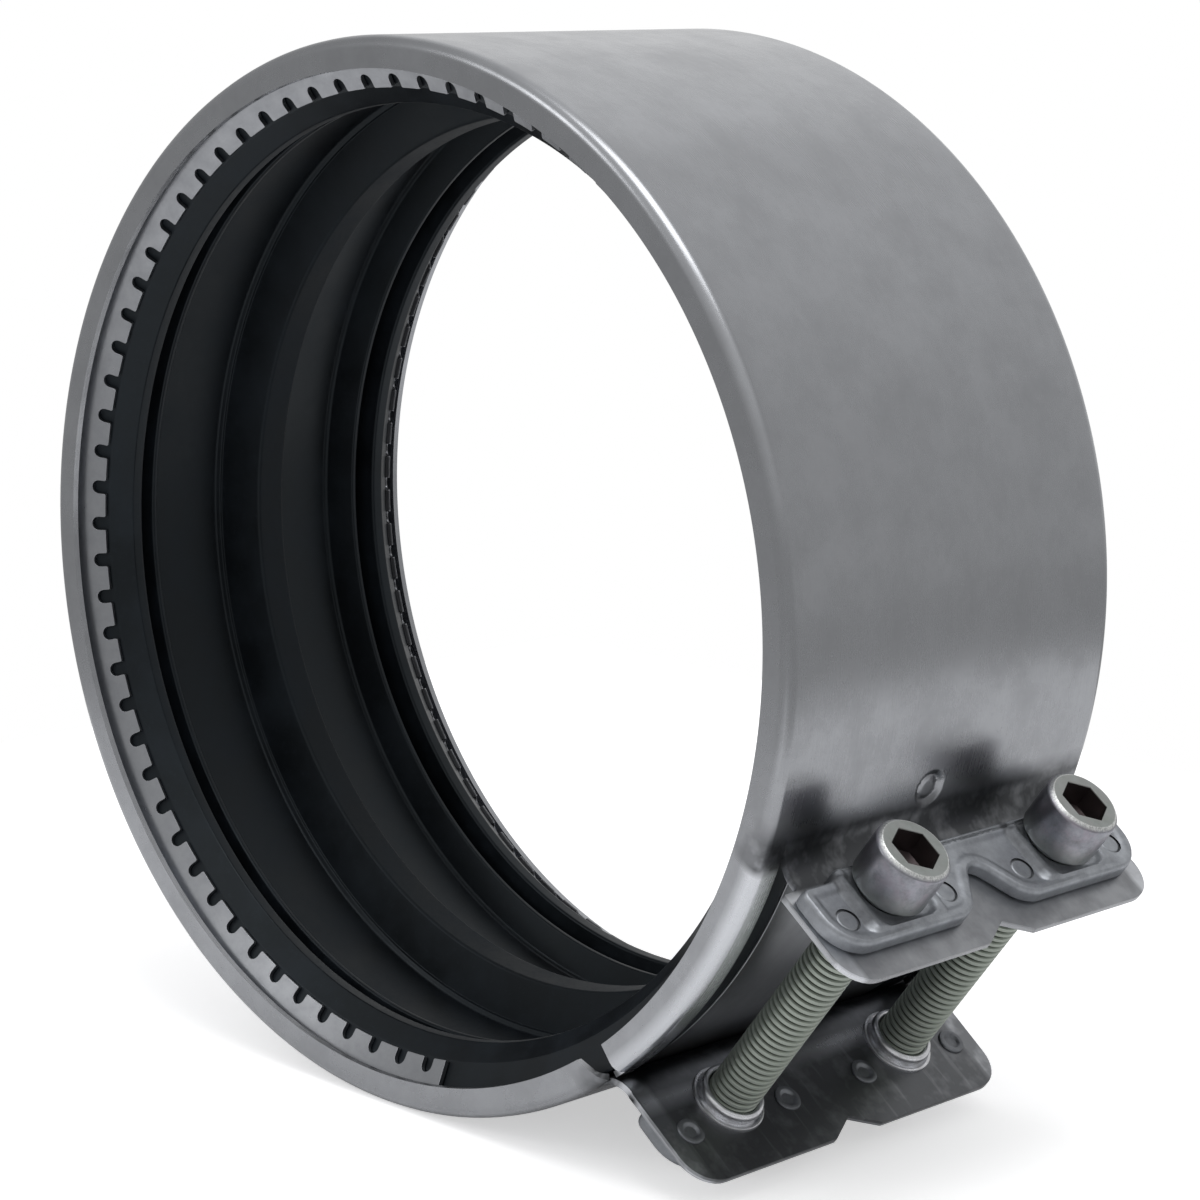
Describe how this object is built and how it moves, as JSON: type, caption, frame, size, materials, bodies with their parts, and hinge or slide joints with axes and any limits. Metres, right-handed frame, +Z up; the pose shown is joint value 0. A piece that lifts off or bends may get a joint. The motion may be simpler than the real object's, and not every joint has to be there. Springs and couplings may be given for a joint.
{
  "type": "pipe grip coupling",
  "caption": "Wide stainless band coupling with toothed grip rings, a rubber gasket and screws across its lugs, for joining two plain pipe ends.",
  "frame": {"origin": "on the pipe's axis, half way along the casing, in the stop rib's bore", "axes": "+Y along the pipe towards the rear face, +Z up as it rests, the lugs towards +X and down"},
  "size_m": [0.2724, 0.111, 0.252],
  "materials": {
    "casing_steel": "rolled satin",
    "bracket_steel": "pressed satin",
    "ring_steel": "bright rolled",
    "gasket_rubber": "moulded",
    "insert_steel": "bright rolled",
    "nut_zinc": "zinc plated",
    "screw_zinc": "olive passivated zinc",
    "washer_steel": "satin"
  },
  "bodies": {
    "root": {"casing": "casing_steel", "upper_bracket": "bracket_steel", "lower_bracket": "bracket_steel", "anchor_ring_front": "ring_steel", "anchor_ring_rear": "ring_steel", "gasket": "gasket_rubber", "strip_insert": "insert_steel", "nut_front": "nut_zinc", "nut_rear": "nut_zinc"},
    "washer_front": {"washer_front": "washer_steel"},
    "screw_front": {"screw_front": "screw_zinc"},
    "washer_rear": {"washer_rear": "washer_steel"},
    "screw_rear": {"screw_rear": "screw_zinc"}
  },
  "joints": [
    {"name": "screw_front_travel", "type": "slide", "parent": "root", "child": "washer_front", "axis": [0.6012, 0, 0.7991], "range_m": [0, 0.014]},
    {"name": "screw_front_turn", "type": "hinge", "parent": "washer_front", "child": "screw_front", "pos_m": [0.13263, -0.0295, -0.0491], "axis": [0.6012, 0, 0.7991], "range_deg": [0, 2880.1]},
    {"name": "screw_rear_travel", "type": "slide", "parent": "root", "child": "washer_rear", "axis": [0.6012, 0, 0.7991], "range_m": [0, 0.014]},
    {"name": "screw_rear_turn", "type": "hinge", "parent": "washer_rear", "child": "screw_rear", "pos_m": [0.13263, 0.0295, -0.0491], "axis": [0.6012, 0, 0.7991], "range_deg": [0, 2880.1]}
  ],
  "couplings": [
    {"joint": "screw_front_turn", "follows": "screw_front_travel", "rad_per_m": 3590.4},
    {"joint": "screw_rear_turn", "follows": "screw_rear_travel", "rad_per_m": 3590.4}
  ]
}
